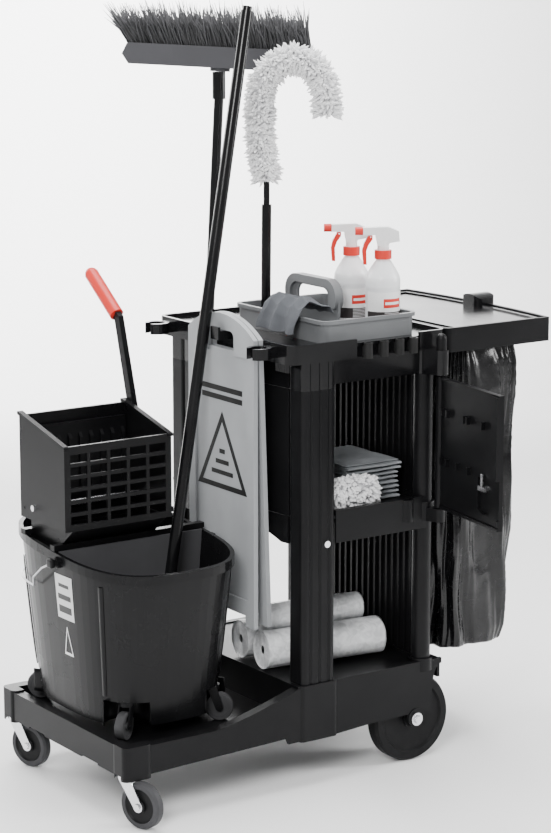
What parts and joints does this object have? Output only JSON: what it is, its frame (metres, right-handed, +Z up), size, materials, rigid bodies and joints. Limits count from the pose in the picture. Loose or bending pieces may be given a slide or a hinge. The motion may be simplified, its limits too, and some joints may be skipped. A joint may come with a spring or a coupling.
{
  "type": "housekeeping cart",
  "caption": "Wheeled plastic housekeeping cart with a mop bucket and side-press wringer, a hinged sign, a waste bag, a caddy with sprayers and long-handled tools.",
  "frame": {"origin": "on the floor under the middle of the deck", "axes": "+Z up, +X along the cart towards the waste bag, -Y the side with the cabinet door"},
  "size_m": [1.202, 1.0186, 1.699],
  "materials": {
    "black_plastic": "moulded, semi-gloss with a fine grain",
    "tray_plastic": "smooth moulded gloss",
    "grip_rubber": "soft black grip rubber",
    "bag_vinyl": "glossy black vinyl cloth",
    "zinc": "bright zinc plate",
    "pin_plastic": "moulded pin with domed head",
    "wheel_rubber": "black moulded disc wheel with rubber tread",
    "hub_plastic": "moulded caster hub",
    "caster_tyre": "grey non-marking tyre",
    "screw_steel": "bright screw heads",
    "bucket_plastic": "gloss moulded bucket",
    "grey_plastic": "grey moulded divider",
    "bail_wire": "bright bail wire",
    "fork_plastic": "moulded caster fork",
    "bucket_wheel": "grey bucket wheel",
    "wringer_plastic": "moulded wringer, semi-gloss",
    "red_grip": "red soft grip",
    "pole_plastic": "coated tube, gloss",
    "mop_yarn": "looped cotton yarn",
    "broom_plastic": "dark grey broom block",
    "bristle": "dark plastic bristles",
    "white_microfibre": "fluffy white microfibre",
    "sign_plastic": "light grey sign board",
    "caddy_plastic": "mid grey moulded caddy",
    "bottle_plastic": "translucent white bottle",
    "sprayer_plastic": "white sprayer head with red collar and nozzle",
    "red_plastic": "red trigger",
    "grey_cloth": "grey microfibre cloth",
    "liner_film": "rolled plastic film"
  },
  "bodies": {
    "cart": {"deck": "black_plastic", "front_post_near": "black_plastic", "front_post_far": "black_plastic", "rear_post_near": "black_plastic", "rear_post_far": "black_plastic", "front_panel": "black_plastic", "divider_panel": "black_plastic", "middle_shelf": "black_plastic", "top_tray": "tray_plastic", "tool_grips": "grip_rubber", "bag_hood": "black_plastic", "waste_bag": "bag_vinyl", "hinge_pins": "pin_plastic", "rear_axle": "zinc", "screws": "screw_steel", "cloth_stack": "grey_cloth", "chenille_pad": "white_microfibre", "liner_rolls": "liner_film"},
    "lid": {"bag_lid": "tray_plastic"},
    "cabinet_door": {"door": "black_plastic"},
    "latch": {"door_latch": "zinc"},
    "back_wheel_near": {"rear_wheel_near": "wheel_rubber"},
    "back_wheel_far": {"rear_wheel_far": "wheel_rubber"},
    "caster_near": {"caster_fork_near": "zinc"},
    "roller_near": {"caster_wheel_near": "hub_plastic", "caster_tyre_near": "caster_tyre"},
    "caster_far": {"caster_fork_far": "zinc"},
    "roller_far": {"caster_wheel_far": "hub_plastic", "caster_tyre_far": "caster_tyre"},
    "mop_bucket": {"bucket": "bucket_plastic", "bucket_divider": "grey_plastic"},
    "bucket_caster_1": {"bucket_fork_1": "fork_plastic"},
    "bucket_roller_1": {"bucket_wheel_1": "bucket_wheel"},
    "bucket_caster_2": {"bucket_fork_2": "fork_plastic"},
    "bucket_roller_2": {"bucket_wheel_2": "bucket_wheel"},
    "bucket_caster_3": {"bucket_fork_3": "fork_plastic"},
    "bucket_roller_3": {"bucket_wheel_3": "bucket_wheel"},
    "bucket_caster_4": {"bucket_fork_4": "fork_plastic"},
    "bucket_roller_4": {"bucket_wheel_4": "bucket_wheel"},
    "bail_wire": {"bail": "bail_wire"},
    "wringer": {"wringer_basket": "wringer_plastic"},
    "lever": {"wringer_lever": "wringer_plastic", "lever_grip": "red_grip", "wringer_shaft": "zinc"},
    "press": {"press_plate": "wringer_plastic"},
    "mop": {"mop_handle": "pole_plastic", "mop_head": "mop_yarn"},
    "broom": {"broom_handle": "pole_plastic", "broom_block": "broom_plastic", "broom_bristles": "bristle"},
    "sign": {"sign_front": "sign_plastic"},
    "sign_rear_leaf": {"sign_back": "sign_plastic"},
    "carry_caddy": {"caddy": "caddy_plastic", "spray_bottles": "bottle_plastic", "sprayer_heads": "sprayer_plastic", "draped_cloth": "grey_cloth"},
    "duster": {"duster_handle": "pole_plastic", "duster_sleeve": "white_microfibre"},
    "spray_trigger_a": {"trigger_a": "red_plastic"},
    "spray_trigger_b": {"trigger_b": "red_plastic"}
  },
  "joints": [
    {"name": "lid_hinge", "type": "hinge", "parent": "cart", "child": "lid", "pos_m": [0.45, 0, 0.981], "axis": [0, -1, 0], "range_deg": [0, 100]},
    {"name": "door_hinge", "type": "hinge", "parent": "cart", "child": "cabinet_door", "pos_m": [0.388, -0.292, 0.744], "axis": [0, 0, 1], "range_deg": [-82, 20]},
    {"name": "latch_turn", "type": "hinge", "parent": "cabinet_door", "child": "latch", "pos_m": [0.3607, -0.4861, 0.678], "axis": [-0.9903, 0.1392, 0], "range_deg": [0, 90]},
    {"name": "back_wheel_near_spin", "type": "hinge", "parent": "cart", "child": "back_wheel_near", "pos_m": [0.3485, -0.234, 0.1016], "axis": [0, 1, 0], "continuous": true},
    {"name": "back_wheel_far_spin", "type": "hinge", "parent": "cart", "child": "back_wheel_far", "pos_m": [0.3485, 0.234, 0.1016], "axis": [0, 1, 0], "continuous": true},
    {"name": "caster_near_swivel", "type": "hinge", "parent": "cart", "child": "caster_near", "pos_m": [-0.398, -0.24, 0.1], "axis": [0, 0, 1], "continuous": true},
    {"name": "caster_near_roll", "type": "hinge", "parent": "caster_near", "child": "roller_near", "pos_m": [-0.38534, -0.27477, 0.0508], "axis": [0.9397, 0.342, 0], "continuous": true},
    {"name": "caster_far_swivel", "type": "hinge", "parent": "cart", "child": "caster_far", "pos_m": [-0.398, 0.24, 0.1], "axis": [0, 0, 1], "continuous": true},
    {"name": "caster_far_roll", "type": "hinge", "parent": "caster_far", "child": "roller_far", "pos_m": [-0.38534, 0.20523, 0.0508], "axis": [0.9397, 0.342, 0], "continuous": true},
    {"name": "bucket_lift_out", "type": "slide", "parent": "cart", "child": "mop_bucket", "axis": [0, 0, 1], "range_m": [0, 0.06]},
    {"name": "bucket_caster_1_swivel", "type": "hinge", "parent": "mop_bucket", "child": "bucket_caster_1", "pos_m": [-0.346, -0.15, 0.24], "axis": [0, 0, 1], "continuous": true},
    {"name": "bucket_caster_1_roll", "type": "hinge", "parent": "bucket_caster_1", "child": "bucket_roller_1", "pos_m": [-0.35911, -0.15918, 0.18905], "axis": [0.5736, -0.8192, 0], "continuous": true},
    {"name": "bucket_caster_2_swivel", "type": "hinge", "parent": "mop_bucket", "child": "bucket_caster_2", "pos_m": [-0.128, -0.15, 0.24], "axis": [0, 0, 1], "continuous": true},
    {"name": "bucket_caster_2_roll", "type": "hinge", "parent": "bucket_caster_2", "child": "bucket_roller_2", "pos_m": [-0.11489, -0.15918, 0.18905], "axis": [0.5736, 0.8192, 0], "continuous": true},
    {"name": "bucket_caster_3_swivel", "type": "hinge", "parent": "mop_bucket", "child": "bucket_caster_3", "pos_m": [-0.346, 0.192, 0.24], "axis": [0, 0, 1], "continuous": true},
    {"name": "bucket_caster_3_roll", "type": "hinge", "parent": "bucket_caster_3", "child": "bucket_roller_3", "pos_m": [-0.35731, 0.20331, 0.18905], "axis": [-0.7071, -0.7071, 0], "continuous": true},
    {"name": "bucket_caster_4_swivel", "type": "hinge", "parent": "mop_bucket", "child": "bucket_caster_4", "pos_m": [-0.128, 0.192, 0.24], "axis": [0, 0, 1], "continuous": true},
    {"name": "bucket_caster_4_roll", "type": "hinge", "parent": "bucket_caster_4", "child": "bucket_roller_4", "pos_m": [-0.12, 0.20586, 0.18905], "axis": [-0.866, 0.5, 0], "continuous": true},
    {"name": "bail_swing", "type": "hinge", "parent": "mop_bucket", "child": "bail_wire", "pos_m": [-0.24, -0.008, 0.528], "axis": [1, 0, 0], "range_deg": [0, 60]},
    {"name": "wringer_lift_out", "type": "slide", "parent": "mop_bucket", "child": "wringer", "axis": [0, 0, 1], "range_m": [0, 0.05]},
    {"name": "lever_pull", "type": "hinge", "parent": "wringer", "child": "lever", "pos_m": [-0.151, 0.084, 0.63], "axis": [1, 0, 0], "range_deg": [0, 70]},
    {"name": "press_swing", "type": "hinge", "parent": "wringer", "child": "press", "pos_m": [-0.296, 0.13, 0.622], "axis": [1, 0, 0], "range_deg": [0, 18]},
    {"name": "mop_lift_out", "type": "slide", "parent": "mop_bucket", "child": "mop", "axis": [0.2019, 0.0546, 0.9779], "range_m": [0, 0.1]},
    {"name": "broom_lift_out", "type": "slide", "parent": "cart", "child": "broom", "axis": [0.059, 0, 0.9983], "range_m": [0, 0.05]},
    {"name": "sign_lift_off", "type": "slide", "parent": "cart", "child": "sign", "axis": [0, 0, 1], "range_m": [0, 0.012]},
    {"name": "sign_fold", "type": "hinge", "parent": "sign", "child": "sign_rear_leaf", "pos_m": [-0.022, -0.046, 1.01], "axis": [0, 1, 0], "range_deg": [-1.3, 1.5]},
    {"name": "caddy_lift_off", "type": "slide", "parent": "cart", "child": "carry_caddy", "axis": [0, 0, 1], "range_m": [0, 0.05]},
    {"name": "duster_lift_out", "type": "slide", "parent": "carry_caddy", "child": "duster", "axis": [0, 0, 1], "range_m": [0, 0.1]},
    {"name": "trigger_a_pull", "type": "hinge", "parent": "carry_caddy", "child": "spray_trigger_a", "pos_m": [0.26625, -0.07316, 1.1956], "axis": [-0.5299, -0.848, 0], "range_deg": [0, 9], "stiffness_Nm_per_rad": 0.4, "springref_deg": -20.05},
    {"name": "trigger_b_pull", "type": "hinge", "parent": "carry_caddy", "child": "spray_trigger_b", "pos_m": [0.28825, -0.16116, 1.1956], "axis": [-0.5299, -0.848, 0], "range_deg": [0, 9], "stiffness_Nm_per_rad": 0.4, "springref_deg": -20.05}
  ],
  "couplings": [
    {"joint": "press_swing", "follows": "lever_pull", "ratio": 0.257}
  ]
}
